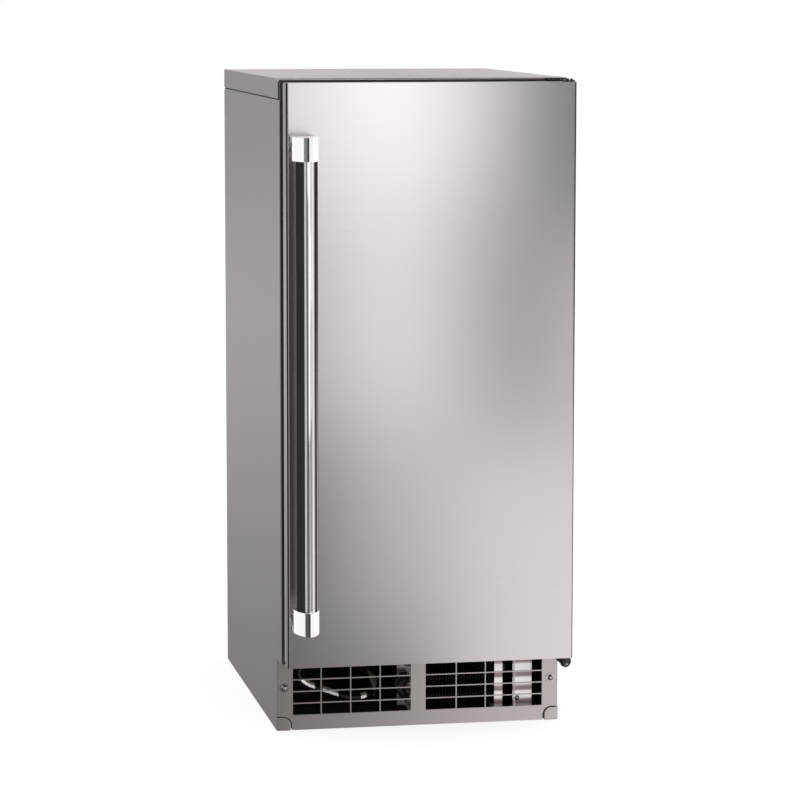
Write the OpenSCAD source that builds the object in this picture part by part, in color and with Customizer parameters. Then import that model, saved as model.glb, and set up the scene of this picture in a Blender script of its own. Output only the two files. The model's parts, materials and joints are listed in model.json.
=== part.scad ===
// Free-standing under-counter ice maker with a hinged door, an insulated bin,
// a freezing section above it and the refrigeration machinery below it.
// Millimetres. X to the right, Y to the back, Z up, the floor at Z = 0.

/* [Cabinet] */
// Width of the cabinet
cabinet_w = 378; // [376:1:396]
// Height from the floor to the top of the cover
cabinet_h = 852; // [850:1:870]
// Depth of the cabinet without its door
cabinet_d = 511; // [509:1:525]
// How far the kick plate stands behind the cabinet's face
kick_depth = 40; // [34:1:42]
// Height of the top cover's skirt below its top
skirt_h = 25.4; // [20:0.2:30]
// How far the pipe fittings stand out of the rear panel
fitting_reach = 14; // [12:1:20]
// Thickness of the sheet steel
sheet = 1.2; // [1:0.1:1.4]

/* [Grille] */
// Width of a grille bar
bar_w = 1.5; // [1.2:0.1:3]
// Spacing of the level bars
level_pitch = 15.75; // [15:0.25:16]
// Spacing of the upright bars
upright_pitch = 39.35; // [38:0.05:39.5]

/* [Door] */
// Distance from the cabinet's face to the door's front
door_t = 48; // [46:1:52]
// Radius of the door skin's folded front edges
fold_r = 3; // [1.5:0.5:4]
// How far the handle reaches in front of the door
handle_reach = 65; // [62:1:72]
// Diameter of the handle's bar
bar_d = 28; // [22:1:28]
// Height of a handle bracket
bracket_h = 30; // [28:1:34]
// Width of a handle bracket
bracket_w = 32; // [32:1:34]

/* [Machinery] */
// Radius of the condenser fan's blades
blade_r = 38; // [30:1:39]
// Number of fan blades
blade_count = 5; // [3:1:7]
// Number of condenser fins
fin_count = 28; // [16:1:32]

/* [Hidden] */
$fn = 48;
eps = 1;          // overshoot of a cutting tool
play = 0.05;      // gap round a screw or a pin in its own hole

// Main planes
half_w = cabinet_w / 2;
face_y = handle_reach + door_t - (handle_reach + door_t + cabinet_d + fitting_reach) / 2;
back_y = face_y + cabinet_d;
kick_y = face_y + kick_depth;
door_y = face_y - door_t;
seam = 1.5;                       // open joint under the top cover's skirt
panel_top = cabinet_h - skirt_h - seam;
inner_w = half_w - sheet - 0.3;   // half width of what stands between the side panels
foot_x = half_w - 14;
foot_ys = [kick_y + 18, back_y - 18];

// Bin and its front opening
frame_t = 10;
bin_w = half_w - 39;              // half width inside the liner
bin_z0 = 150;                     // floor inside the liner
bin_z1 = cabinet_h - 40;
bin_back = back_y - 39.5;
step_y = 80;                      // where the floor steps up over the compressor
step_z = 222;
liner_t = 2.5;
kick_h = 97;                      // height of the toe recess
foam_z0 = 122;
frame_top = cabinet_h - 3.6;
cover_y = face_y + 11;            // front edge of the top cover
machine_y = step_y + 27;          // front of the tall part of the machine space
machine_z = 195;

// Door
door_z0 = 101;
door_z1 = cabinet_h - 4;
door_half = half_w - 1.5;
skin_depth = 21;
skin_back = door_y + skin_depth;
rim_y = face_y - 9;               // the liner's rim, where the gasket sits
neck_y = rim_y - 13;
pivot = [half_w - 9, face_y - 38];
pin_r = 3.5;
bush_r = 5.5;
bush_h = 20;
flange_r = 7;                     // flange under the lower bush

// Handle
handle_x = -half_w + 20.5;
bar_y = door_y - 42;
tip_y = door_y - handle_reach;
handle_z0 = 154;
handle_z1 = 782;
neck_root = 20;
neck_thin = 6;

// Condenser and fan
cond_x = [-5, 107];
cond_y = [kick_y + 20, kick_y + 68];
cond_z = [20, 114];
tube_r = 4.8;
tube_zs = [32, 55, 78, 101];
tube_ys = [cond_y[0] + 12, cond_y[0] + 36];
fan_x = 51;
fan_z = 67;
shroud_y = cond_y[1] + 34;
comp = [20, back_y - 110];        // compressor's centre
pan_z = 12;                       // underside of the base pan

// Freezing section
evap_x = [-130, 80];
evap_y = [85, 235];
cup_z = [738, 760];
sump_z = [590, 650];
pump = [115, 215];
chute_pivot = [66, 752];          // curtain's hinge line, Y and Z

steel = "silver";
galvanised = [0.78, 0.79, 0.8];
dark = [0.13, 0.13, 0.14];
plastic = "white";
copper = [0.72, 0.45, 0.3];

// A box given by two opposite corners
module block(low, high) {
    translate(low) cube(high - low);
}

// Cylinders along each axis
module rod_x(x0, x1, y, z, r) {
    translate([x0, y, z]) rotate([0, 90, 0]) cylinder(h = x1 - x0, r = r);
}
module rod_y(y0, y1, x, z, r) {
    translate([x, y0, z]) rotate([-90, 0, 0]) cylinder(h = y1 - y0, r = r);
}
module rod_z(z0, z1, x, y, r) {
    translate([x, y, z0]) cylinder(h = z1 - z0, r = r);
}

// Low domed screw head on the XY plane, with its shank below
module dome_screw(head_r, head_h, shank_r, shank_l) {
    ball_r = (head_r * head_r + head_h * head_h) / (2 * head_h);
    union() {
        intersection() {
            translate([0, 0, head_h - ball_r]) sphere(r = ball_r);
            cylinder(h = head_h + eps, r = head_r + eps);
        }
        translate([0, 0, -shank_l]) cylinder(h = shank_l + 0.2, r = shank_r);
    }
}

// Smooth tube through a list of points, as one closed surface
function mix(a, b, t) = a * (1 - t) + b * t;
function bend(p, i, t) =
    let (
        n = len(p) - 1,
        a = p[max(i - 1, 0)],
        b = p[i],
        c = p[min(i + 1, n)],
        d = p[min(i + 2, n)]
    )
    0.5 * (2 * b + (c - a) * t + (2 * a - 5 * b + 4 * c - d) * t * t + (3 * b - a - 3 * c + d) * t * t * t);
function smooth(p, parts) = concat(
    [for (i = [0 : len(p) - 2], k = [0 : parts - 1]) bend(p, i, k / parts)],
    [p[len(p) - 1]]
);
function heading(p, i) =
    let (v = p[min(i + 1, len(p) - 1)] - p[max(i - 1, 0)]) v / norm(v);
function side_of(v) =
    let (s = cross(v, abs(v[0]) < 0.9 ? [1, 0, 0] : [0, 1, 0])) s / norm(s);
function carry(p, i, last) =
    let (v = heading(p, i), s = last - v * (last * v)) s / norm(s);
function frames(p, i = 0, got = []) =
    i == len(p) ? got
        : frames(p, i + 1, concat(got, [i == 0 ? side_of(heading(p, 0)) : carry(p, i, got[i - 1])]));
module tube(points, r, parts = 3, sides = 10) {
    path = smooth(points, parts);
    across = frames(path);
    n = len(path);
    rings = [
        for (i = [0 : n - 1], k = [0 : sides - 1])
            let (u = across[i], w = cross(heading(path, i), u), a = 360 * k / sides)
                path[i] + r * (cos(a) * u + sin(a) * w)
    ];
    sides_faces = [
        for (i = [0 : n - 2], k = [0 : sides - 1])
            let (j = (k + 1) % sides)
                [i * sides + k, (i + 1) * sides + k, (i + 1) * sides + j, i * sides + j]
    ];
    start_face = [for (k = [0 : sides - 1]) k];
    end_face = [for (k = [0 : sides - 1]) n * sides - 1 - k];
    polyhedron(points = rings, faces = concat([start_face], sides_faces, [end_face]), convexity = 8);
}

// ---- Cabinet ----

rear_screw_zs = [60, 300, 540, panel_top - 26];
cover_screw_xs = [-150, 0, 150];
flange_y = back_y - 2 * sheet;

module rear_screw_holes(r) {
    for (side = [-1, 1], z = rear_screw_zs) rod_y(back_y - 12, back_y + eps, side * (half_w - 9), z, r);
}

module side_panel(side) {
    mirror([side < 0 ? 1 : 0, 0, 0]) difference() {
        union() {
            block([half_w - sheet, face_y, 0], [half_w, back_y, panel_top]);
            block([half_w - 17, flange_y, 0], [half_w - sheet, flange_y + sheet, panel_top]);
        }
        block([half_w - 2 * sheet, face_y - eps, -eps], [half_w + eps, kick_y + kick_t + 0.3, kick_h]);
        rear_screw_holes(2 + play);
    }
}
module left_side_panel() {
    color(steel) side_panel(-1);
}
module right_side_panel() {
    color(steel) side_panel(1);
}

water_in = [-126, 60];
drain_out = [-60, 40];
cord_in = [120, 40];

module louvres() {
    for (x = [-135 : 62 : 60], row = [0 : 6])
        block([x, back_y - 5, 100 + 13 * row], [x + 50, back_y + eps, 105 + 13 * row]);
}
module rear_panel() {
    color(galvanised) difference() {
        union() {
            block([-inner_w, back_y - sheet, pan_z + 3], [inner_w, back_y, panel_top]);
            block([-half_w + 20, flange_y, panel_top - 10], [half_w - 20, back_y - sheet, cabinet_h - 6]);
        }
        louvres();
        rear_screw_holes(2 + play);
        rod_y(back_y - 5, back_y + eps, water_in[0], water_in[1], 12.8);
        rod_y(back_y - 5, back_y + eps, drain_out[0], drain_out[1], 9.7);
        rod_y(back_y - 5, back_y + eps, cord_in[0], cord_in[1], 9.2);
        for (x = cover_screw_xs) rod_y(back_y - 5, back_y + eps, x, cabinet_h - 13, 2 + play);
    }
}

module top_cover() {
    skirt_z = cabinet_h - skirt_h;
    roll = 1.6;
    roll_end = hinge_x[0] - 1;
    color(steel) union() {
        difference() {
            block([-half_w, cover_y, skirt_z], [half_w, back_y, cabinet_h]);
            block(
                [-half_w + sheet, cover_y - eps, skirt_z - eps],
                [half_w - sheet, back_y - sheet, cabinet_h - sheet]
            );
            block(
                [-half_w - eps, cover_y - eps, cabinet_h - roll],
                [roll_end, cover_y + roll, cabinet_h + eps]
            );
            for (x = cover_screw_xs) rod_y(back_y - 5, back_y + eps, x, cabinet_h - 13, 2 + play);
        }
        rod_x(-half_w, roll_end, cover_y + roll, cabinet_h - roll, roll);
    }
}

module base_pan() {
    y0 = kick_y + kick_t + 0.3;
    y1 = back_y - 3;
    lip = 18;
    tab_w = 15;
    color(galvanised) difference() {
        union() {
            block([-inner_w, y0, pan_z], [inner_w, y1, pan_z + sheet]);
            block([-inner_w, y0, pan_z], [inner_w, y0 + sheet, lip]);
            block([-inner_w, y1 - sheet, pan_z], [inner_w, y1, lip + 8]);
            for (side = [-1, 1]) {
                tab_x = side < 0 ? -inner_w : inner_w - tab_w;
                block([tab_x, y0, pan_z], [tab_x + tab_w, y0 + sheet, 75]);
                for (y = foot_ys) rod_z(pan_z, pan_z + 9, side * foot_x, y, 8);
            }
        }
        for (side = [-1, 1]) {
            for (y = foot_ys) rod_z(pan_z - eps, 60, side * foot_x, y, 4 + play);
            rod_y(y0 - eps, y0 + 5, side * grille_screw_x, grille_screw_z, 1.9 + play);
        }
    }
}

module front_frame() {
    color(dark) difference() {
        union() {
            block([-inner_w, face_y, kick_h + 2], [inner_w, face_y + frame_t, frame_top]);
            block([-inner_w, face_y, kick_h], [inner_w, kick_y + 2, kick_h + 2]);
        }
        block([-bin_w, face_y - eps, bin_z0], [bin_w, face_y + frame_t + eps, bin_z1]);
        hinge_screw_holes();
    }
}

// ---- Kick plate and grille ----

window = [10, 167.5];             // inner and outer edge of a window
window_z = [20, 94];
grille_screw_x = 179;
grille_screw_z = 57;
kick_t = 2;
cap_w = 18.5;
cap_h = 17.5;
cap_groove = 1.8;

// Corner piece with one rounded inner top corner, from the outer edge inwards
module cap_outline(grow) {
    w = cap_w + grow;
    h = cap_h + grow;
    r = 10 + grow;
    union() {
        translate([half_w - w + r, 0]) square([w - r + eps, h]);
        translate([half_w - w, 0]) square([r, h - r]);
        translate([half_w - w + r, h - r]) circle(r = r);
    }
}
module grille_cut() {
    translate([0, kick_y + kick_t, 0]) rotate([90, 0, 0]) linear_extrude(kick_t) difference() {
        union() {
            difference() {
                translate([-half_w, 0]) square([2 * half_w, kick_h]);
                for (side = [-1, 1]) {
                    x0 = side < 0 ? -window[1] : window[0];
                    translate([x0, window_z[0]]) square([window[1] - window[0], window_z[1] - window_z[0]]);
                }
            }
            for (side = [-1, 1]) {
                x0 = side < 0 ? -window[1] - 1 : window[0] - 1;
                for (i = [0 : 3])
                    translate([x0, window_z[0] + 15.5 + i * level_pitch - bar_w / 2])
                        square([window[1] - window[0] + 2, bar_w]);
                for (i = [0 : 2])
                    translate([side * (51.2 + i * upright_pitch) - bar_w / 2, window_z[0] - 1])
                        square([bar_w, window_z[1] - window_z[0] + 2]);
            }
        }
        for (side = [0, 1]) mirror([side, 0]) {
            translate([0, -eps]) cap_outline(cap_groove);
            translate([grille_screw_x, grille_screw_z]) circle(r = 1.9 + play);
        }
    }
}
module kickplate() {
    color(steel) intersection() {
        grille_cut();
        linear_extrude(kick_h) rounded_front(half_w, kick_y, kick_t, kick_t - 0.1);
    }
}
module kickplate_screws() {
    color(steel) for (side = [-1, 1])
        translate([side * grille_screw_x, kick_y, grille_screw_z]) rotate([90, 0, 0]) union() {
            cylinder(h = 1, r = 6);
            translate([0, 0, 1]) dome_screw(4, 2.4, 1.9, 14);
        }
}
module kick_corner_caps() {
    color(steel) for (side = [0, 1]) mirror([side, 0, 0])
        translate([0, kick_y + 2, 0]) rotate([90, 0, 0]) linear_extrude(4) intersection() {
            cap_outline(0);
            square([half_w, cap_h]);
        }
}

module panel_screws() {
    color(steel) {
        for (side = [-1, 1], z = rear_screw_zs)
            translate([side * (half_w - 9), back_y, z]) rotate([-90, 0, 0]) dome_screw(4, 2.2, 2, 9);
        for (x = cover_screw_xs)
            translate([x, back_y, cabinet_h - 13]) rotate([-90, 0, 0]) dome_screw(4, 2.2, 2, sheet * 2);
        translate([bracket_x[0] + 6, cond_y[0] - sheet, 27]) rotate([90, 0, 0]) dome_screw(3.4, 2, 1.6, 8);
    }
}

// ---- Insulated bin ----

module bin_space(grow) {
    w = bin_w + grow;
    difference() {
        block([-w, face_y + frame_t, bin_z0 - grow], [w, bin_back + grow, bin_z1 + grow]);
        block([-w - eps, step_y + grow, bin_z0 - grow - eps], [w + eps, back_y, step_z - grow]);
    }
}
drain = [-125, -96];              // bin drain in the floor
suction_x = 100;
riser_y = back_y - 20;            // pipes rise through the rear foam here
water_end_z = 665;
suction_end_z = 767;

module pipe_passages(r_water, r_suction, r_drain) {
    rod_z(foam_z0 - eps, bin_z0 + eps, drain[0], drain[1], r_drain);
    rod_y(bin_back - eps, riser_y, water_in[0], water_end_z, r_water);
    rod_y(bin_back - eps, riser_y, suction_x, suction_end_z, r_suction);
}
module foam_insulation() {
    w = half_w - sheet - 0.8;
    color("wheat") difference() {
        block([-w, face_y + frame_t, foam_z0], [w, back_y - 3, cabinet_h - 6 - 0.2]);
        bin_space(liner_t);
        block([-w - eps, machine_y, foam_z0 - eps], [w + eps, back_y, machine_z]);
        pipe_passages(9, 10, 15);
        rod_z(machine_z - eps, water_end_z + 12, water_in[0], riser_y, 9);
        rod_z(machine_z - eps, suction_end_z + 12, suction_x, riser_y, 10);
        rear_screw_holes(4);
        for (x = cover_screw_xs) rod_y(back_y - 12, back_y, x, cabinet_h - 13, 4);
        hinge_screw_holes();
        for (side = [-1, 1])
            block([side * w - 14, cover_y - eps, panel_top - 1],
                [side * w + 5, back_y, panel_top + seam + 1]);
    }
}
module bin_liner() {
    color(plastic) difference() {
        bin_space(liner_t);
        difference() {
            block([-bin_w, face_y, bin_z0], [bin_w, bin_back, bin_z1]);
            block([-bin_w - eps, step_y, bin_z0 - eps], [bin_w + eps, back_y, step_z]);
        }
        pipe_passages(4, 6, 14);
    }
}
module bin_drain_grate() {
    color(plastic) translate([drain[0], drain[1], bin_z0]) difference() {
        union() {
            cylinder(h = 2, r = 18);
            translate([0, 0, -12]) cylinder(h = 12, r = 13.6);
        }
        translate([0, 0, -12 - eps]) cylinder(h = 12 + eps, r = 11.5);
        for (i = [-2 : 2]) block([-9 + abs(i) * 1.5, i * 5 - 1.2, -eps], [9 - abs(i) * 1.5, i * 5 + 1.2, 3]);
    }
}

thermo_z = 520;
module bin_thermostat() {
    color(copper) union() {
        rod_y(-70, 60, -bin_w + 9, thermo_z, 4);
        for (y = [-50, 34]) block([-bin_w, y, thermo_z - 7], [-bin_w + 12, y + 8, thermo_z + 7]);
    }
}

// Scoop standing mouth down in a pocket on the right wall
holder_y = [-140, -70];
holder_x0 = bin_w - 66;
holder_z = [420, 500];
scoop_c = [bin_w - 36, -105];
scoop_r = 30;
scoop_z = [423.5, 514];
module scoop_holder() {
    t = 3;
    color(plastic) difference() {
        block([holder_x0, holder_y[0], holder_z[0]], [bin_w, holder_y[1], holder_z[1]]);
        block(
            [holder_x0 + t, holder_y[0] + t, holder_z[0] + t],
            [bin_w - t, holder_y[1] - t, holder_z[1] + eps]
        );
        for (y = [-122, -105, -88]) rod_z(holder_z[0] - eps, holder_z[0] + t + eps, holder_x0 + 14, y, 4);
    }
}
module ice_scoop() {
    t = 2;
    color("lightgray") translate([scoop_c[0], scoop_c[1], 0]) union() {
        difference() {
            rod_z(scoop_z[0], scoop_z[1], 0, 0, scoop_r);
            rod_z(scoop_z[0] - eps, scoop_z[1] - t, 0, 0, scoop_r - t);
            block([-scoop_r - eps, -scoop_r - eps, scoop_z[0] - eps], [0, scoop_r + eps, scoop_z[1] + eps]);
        }
        rod_z(scoop_z[1] - t, scoop_z[1] + 16, 13, 0, 6);
        rod_z(scoop_z[1] + 15, scoop_z[1] + 88, 13, 0, 9);
        translate([13, 0, scoop_z[1] + 88]) sphere(r = 9);
    }
}

// ---- Condenser, fan and compressor ----

module condenser_fins() {
    pitch = (cond_x[1] - cond_x[0] - 0.6) / (fin_count - 1);
    color(galvanised) union() {
        for (i = [0 : fin_count - 1]) {
            x = cond_x[0] + i * pitch;
            block([x, cond_y[0], cond_z[0]], [x + 0.6, cond_y[1], cond_z[1]]);
        }
        for (z = [cond_z[0], cond_z[1] - 1])
            block([cond_x[0], cond_y[1] - 3, z], [cond_x[1], cond_y[1], z + 1]);
    }
}
// Half-round return bend in the plane of +X and the given turn about X
module return_bend(x, y, z, span, turn, side) {
    translate([x, y, z]) rotate([turn, 0, 0]) mirror([side < 0 ? 1 : 0, 0, 0])
        rotate([90, 0, 0]) rotate([0, 0, -90])
            rotate_extrude(angle = 180) translate([span / 2, 0]) circle(r = tube_r);
}
module condenser_coil() {
    x0 = cond_x[0] - 2;
    x1 = cond_x[1] + 2;
    span = tube_zs[1] - tube_zs[0];
    color(copper) union() {
        for (y = tube_ys) {
            for (z = tube_zs) rod_x(x0, x1 + (z == tube_zs[0] ? 5 : 0), y, z, tube_r);
            for (i = [0, 2]) return_bend(x0, y, tube_zs[i] + span / 2, span, 0, -1);
            return_bend(x1, y, tube_zs[1] + span / 2, span, 0, 1);
        }
        return_bend(x1, (tube_ys[0] + tube_ys[1]) / 2, tube_zs[3], tube_ys[1] - tube_ys[0], 90, 1);
    }
}
module condenser_end_plates() {
    z0 = pan_z + sheet;
    z1 = cond_z[1] + 3;
    t = 1.2;
    color(galvanised) {
        difference() {
            union() {
                block([cond_x[1], cond_y[0] - t, z0], [cond_x[1] + t, cond_y[1], z1]);
                block([cond_x[1], cond_y[0] - t, z0], [cond_x[1] + 11, cond_y[0], z1]);
            }
            for (y = tube_ys, z = tube_zs) rod_x(cond_x[1] - eps, cond_x[1] + 5, y, z, tube_r);
        }
        difference() {
            union() {
                block([cond_x[0] - t, cond_y[0], z0], [cond_x[0], cond_y[1], z1]);
                block([cond_x[0] - 11, cond_y[1] - t, z0], [cond_x[0], cond_y[1], z1]);
            }
            for (y = tube_ys, z = tube_zs) rod_x(cond_x[0] - 5, cond_x[0] + eps, y, z, tube_r);
        }
    }
}
bracket_x = [132, 158];
module condenser_bracket() {
    z0 = pan_z + sheet;
    color(galvanised) difference() {
        union() {
            block([bracket_x[0], cond_y[0] - sheet, z0], [bracket_x[1], cond_y[0], 116]);
            block([bracket_x[1] - sheet, cond_y[0] - sheet, z0], [bracket_x[1], cond_y[1], 116]);
            block([bracket_x[1] - 16, cond_y[0], z0], [bracket_x[1], cond_y[1], z0 + sheet]);
        }
        rod_y(cond_y[0] - 5, cond_y[0] + 5, bracket_x[0] + 6, 27, 1.6 + play);
    }
}
module motor_arm(long) {
    block([-2, 0, -6], [2, long, 6]);
}
module fan_shroud() {
    t = 1.6;
    z0 = cond_z[0] - 2;
    z1 = cond_z[1] + 2;
    motor_end = shroud_y + 68;
    color(dark) difference() {
        union() {
            difference() {
                block([cond_x[0], cond_y[1], z0], [cond_x[1], shroud_y, z1]);
                block([cond_x[0] + t, cond_y[1] - eps, z0 + t], [cond_x[1] - t, shroud_y - t, z1 - t]);
            }
            for (side = [-1, 1])
                translate([fan_x + side * 44, shroud_y - 1, fan_z]) motor_arm(motor_end - shroud_y + 1);
            block([fan_x - 46, motor_end, fan_z - 6], [fan_x + 46, motor_end + 2, fan_z + 6]);
            block([fan_x - 20, cond_y[1] + 2, pan_z + sheet], [fan_x + 20, shroud_y, z0 + 0.5]);
        }
        rod_y(shroud_y - 5, shroud_y + eps, fan_x, fan_z, blade_r + 3);
    }
}
module fan_blade() {
    y0 = shroud_y + 5;
    hub_r = 12;
    color(dark) union() {
        rod_y(y0, y0 + 16, fan_x, fan_z, hub_r);
        rod_y(y0 + 15, y0 + 36, fan_x, fan_z, 2.5);
        intersection() {
            rod_y(y0, y0 + 16, fan_x, fan_z, blade_r);
            translate([fan_x, y0 + 8, fan_z]) for (i = [0 : blade_count - 1])
                rotate([0, 360 * i / blade_count, 0]) rotate([0, 0, 30])
                    translate([-1, -15, hub_r - 3]) cube([2, 30, blade_r]);
        }
    }
}
module fan_motor() {
    y0 = shroud_y + 29;
    color("dimgray") difference() {
        union() {
            rod_y(y0, shroud_y + 68, fan_x, fan_z, 22);
            rod_y(y0 - 4, y0 + 1, fan_x, fan_z, 7);
        }
        rod_y(y0 - 5, y0 + 14, fan_x, fan_z, 2.5 + play);
    }
}

mount_dx = 60;
mount_dy = 46;
module compressor() {
    foot_z = 27;
    shell_r = 64;
    shell_z = 172;
    color([0.1, 0.1, 0.11]) difference() {
        union() {
            block([comp[0] - 72, comp[1] - 58, foot_z], [comp[0] + 72, comp[1] + 58, foot_z + 3]);
            translate([comp[0], comp[1], 0]) rotate_extrude() polygon(concat(
                [[0, foot_z + 2], [shell_r - 14, foot_z + 2], [shell_r, foot_z + 16], [shell_r, 100],
                    [shell_r + 2.5, 100], [shell_r + 2.5, 105], [shell_r, 105], [shell_r, shell_z - 40]],
                [for (a = [15 : 15 : 90]) [shell_r * cos(a), shell_z - 40 + 40 * sin(a)]]
            ));
            rod_y(comp[1] - 65, comp[1] - 35, comp[0] + 50, 90, 4.8);
            rod_x(comp[0] + 55, comp[0] + 76, comp[1], 130, 5);
        }
        for (sx = [-1, 1], sy = [-1, 1])
            rod_z(foot_z - eps, foot_z + 4, comp[0] + sx * mount_dx, comp[1] + sy * mount_dy, 6);
    }
}
module compressor_mounts() {
    z0 = pan_z + sheet;
    color(dark) for (sx = [-1, 1], sy = [-1, 1])
        translate([comp[0] + sx * mount_dx, comp[1] + sy * mount_dy, 0]) union() {
            rod_z(z0, 27, 0, 0, 9);
            rod_z(26, 33, 0, 0, 5.8);
        }
}

// Routes of the pipes, through points
discharge_route = [
    [cond_x[1] + 7, tube_ys[1], 32], [122, tube_ys[1] + 1, 32], [128, tube_ys[1] + 12, 35],
    [127, -60, 42], [122, 0, 58], [106, 55, 76], [82, 92, 87], [72, 112, 90], [70, comp[1] - 65, 90]
];
suction_route = [
    [comp[0] + 76, comp[1], 130], [104, comp[1] + 2, 131], [112, comp[1] + 18, 136], [109, 250, 152],
    [suction_x + 2, 278, 176], [suction_x, riser_y, 210], [suction_x, riser_y, 330],
    [suction_x, riser_y, 480], [suction_x, riser_y, 620], [suction_x, riser_y, 740],
    [suction_x, riser_y - 3, 757], [suction_x, riser_y - 12, suction_end_z],
    [suction_x, 262, suction_end_z], [suction_x, 240, suction_end_z], [98, 227, suction_end_z],
    [90, 221, suction_end_z], [evap_x[1], 220, suction_end_z]
];
liquid_route = [
    [cond_x[1] + 7, tube_ys[0], 32], [120, tube_ys[0], 31], [126, tube_ys[0] + 8, 26],
    [128, tube_ys[0] + 26, 22], [131, -60, 24], [136, -10, 38], [140, 20, 55], [140, 40, 60]
];
capillary_route = [
    [140, 150, 60], [140, 180, 64], [134, 225, 90], [118, 262, 135], [106, 281, 180], [100, 285, 205]
];
module discharge_tube() {
    color(copper) tube(discharge_route, 3.4);
}
module suction_tube() {
    color(copper) tube(suction_route, 4.8, 3, 8);
}
module filter_drier() {
    color(copper) {
        rod_y(40, 150, 140, 60, 9);
        tube(liquid_route, 2.4, 3, 8);
        tube(capillary_route, 1.5, 3, 8);
    }
}

// ---- Freezing section ----

// Tinned plate with cups open downwards, and the refrigerant coil soldered on top
module evaporator() {
    t = 1.5;
    cup_pitch = 30;
    cup_top = cup_z[1] + eps;
    ys = [100, 130, 160, 190, 220];
    coil_x0 = evap_x[0] + 8;
    x_end = evap_x[1] - t;
    y_end = evap_y[1] - t;
    color(copper) union() {
        block([evap_x[0], evap_y[0], cup_z[1]], [evap_x[1], evap_y[1], cup_z[1] + 2]);
        for (x = [evap_x[0] : cup_pitch : evap_x[1]])
            block([min(x, x_end), evap_y[0], cup_z[0]], [min(x, x_end) + t, evap_y[1], cup_top]);
        for (y = [evap_y[0] : cup_pitch : evap_y[1]])
            block([evap_x[0], min(y, y_end), cup_z[0]], [evap_x[1], min(y, y_end) + t, cup_top]);
        for (x = [evap_x[0] + 2, evap_x[1] - 8], y = [evap_y[0] + 1, evap_y[1] - 7])
            block([x, y, cup_z[1] + 1], [x + 6, y + 6, bin_z1]);
    }
    color(copper) union() {
        for (y = ys) rod_x(coil_x0, evap_x[1], y, suction_end_z, tube_r);
        for (i = [0, 2]) return_bend(evap_x[1], ys[i] + 15, suction_end_z, 30, 90, 1);
        for (i = [1, 3]) return_bend(coil_x0, ys[i] + 15, suction_end_z, 30, 90, -1);
    }
}
module water_reservoir() {
    t = 3;
    x = bin_w - 10;
    color(plastic) union() {
        difference() {
            block([-x, 70, sump_z[0]], [x, 258, sump_z[1]]);
            block([-x + t, 70 + t, sump_z[0] + t], [x - t, 258 - t, sump_z[1] + eps]);
        }
        for (side = [-1, 1]) {
            x0 = side < 0 ? -bin_w : x - 1;
            block([x0, 70, sump_z[1] - 3], [x0 + 11, 258, sump_z[1]]);
        }
    }
}
spray_z = 662;
module spray_bar() {
    color(plastic) difference() {
        union() {
            rod_x(-121, pump[0], 244, spray_z, 6);
            block([pump[0] - 8, 236, spray_z - 8], [pump[0] + 8, 252, spray_z + 8]);
            rod_z(612, spray_z, pump[0], 244, 6);
            block([pump[0] - 8, 238, 604], [pump[0] + 8, 252, 620]);
            for (x = [-115 : 36 : 66]) {
                rod_y(95, 244, x, spray_z, 4.5);
                for (y = [100 : 30 : 220]) translate([x, y, spray_z + 3]) cylinder(h = 13, r1 = 3.4, r2 = 2);
            }
        }
        rod_y(237, 246, pump[0], 612, 4);
    }
}
module water_pump() {
    color("gainsboro") difference() {
        union() {
            rod_z(602, 622, pump[0], pump[1], 20);
            rod_z(621, 691, pump[0], pump[1], 7);
            rod_z(690, 735, pump[0], pump[1], 20);
            rod_y(pump[1] + 18, 238, pump[0], 612, 6);
            block([96, 195, sump_z[1]], [bin_w - 11, 258, sump_z[1] + 3]);
        }
        rod_z(605, 619, pump[0], pump[1], 17);
        rod_z(601, 606, pump[0], pump[1], 7);
        rod_z(618, 702, pump[0], pump[1], 3 + play);
        rod_y(pump[1] + 15, 239, pump[0], 612, 4);
        rod_z(640, 660, pump[0], 244, 7);
    }
}
module pump_impeller() {
    color(plastic) translate([pump[0], pump[1], 0]) union() {
        rod_z(608, 611, 0, 0, 14);
        for (a = [0 : 45 : 135]) rotate([0, 0, a]) block([-14, -1, 610], [14, 1, 616]);
        rod_z(610, 700, 0, 0, 3);
    }
}

chute_slope = atan(30 / 184);
module chute_side(x) {
    translate([x, 0, 0]) rotate([90, 0, 90]) linear_extrude(3) polygon([
        [70, 650], [258, 650], [258, 736], [77, 706], [77, 760], [57, 760], [57, 690], [70, 690]
    ]);
}
module ice_chute() {
    color(plastic) difference() {
        union() {
            chute_side(evap_x[0] - 5);
            chute_side(evap_x[1] + 2);
            translate([0, 72, 698]) rotate([chute_slope, 0, 0]) {
                for (x = [evap_x[0] + 4 : 14.2 : evap_x[1]]) block([x, 0, 0], [x + 3, 184, 3]);
                for (y = [0, 90, 180]) block([evap_x[0] - 4, y, -1], [evap_x[1] + 4, y + 4, 2]);
            }
        }
        rod_x(evap_x[0] - 9, evap_x[1] + 9, chute_pivot[0], chute_pivot[1], 2.5 + play);
        rod_x(evap_x[1], evap_x[1] + 9, 244, spray_z, 6.4);
    }
}
module chute_curtain() {
    color([0.85, 0.9, 0.95]) union() {
        rod_x(evap_x[0] - 7, evap_x[1] + 7, chute_pivot[0], chute_pivot[1], 2.5);
        rod_x(evap_x[0], evap_x[1], chute_pivot[0], chute_pivot[1], 4);
        block([evap_x[0], chute_pivot[0] - 4, 693], [evap_x[1], chute_pivot[0] - 1.5, chute_pivot[1]]);
    }
}

// ---- Water and drain fittings ----

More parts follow.
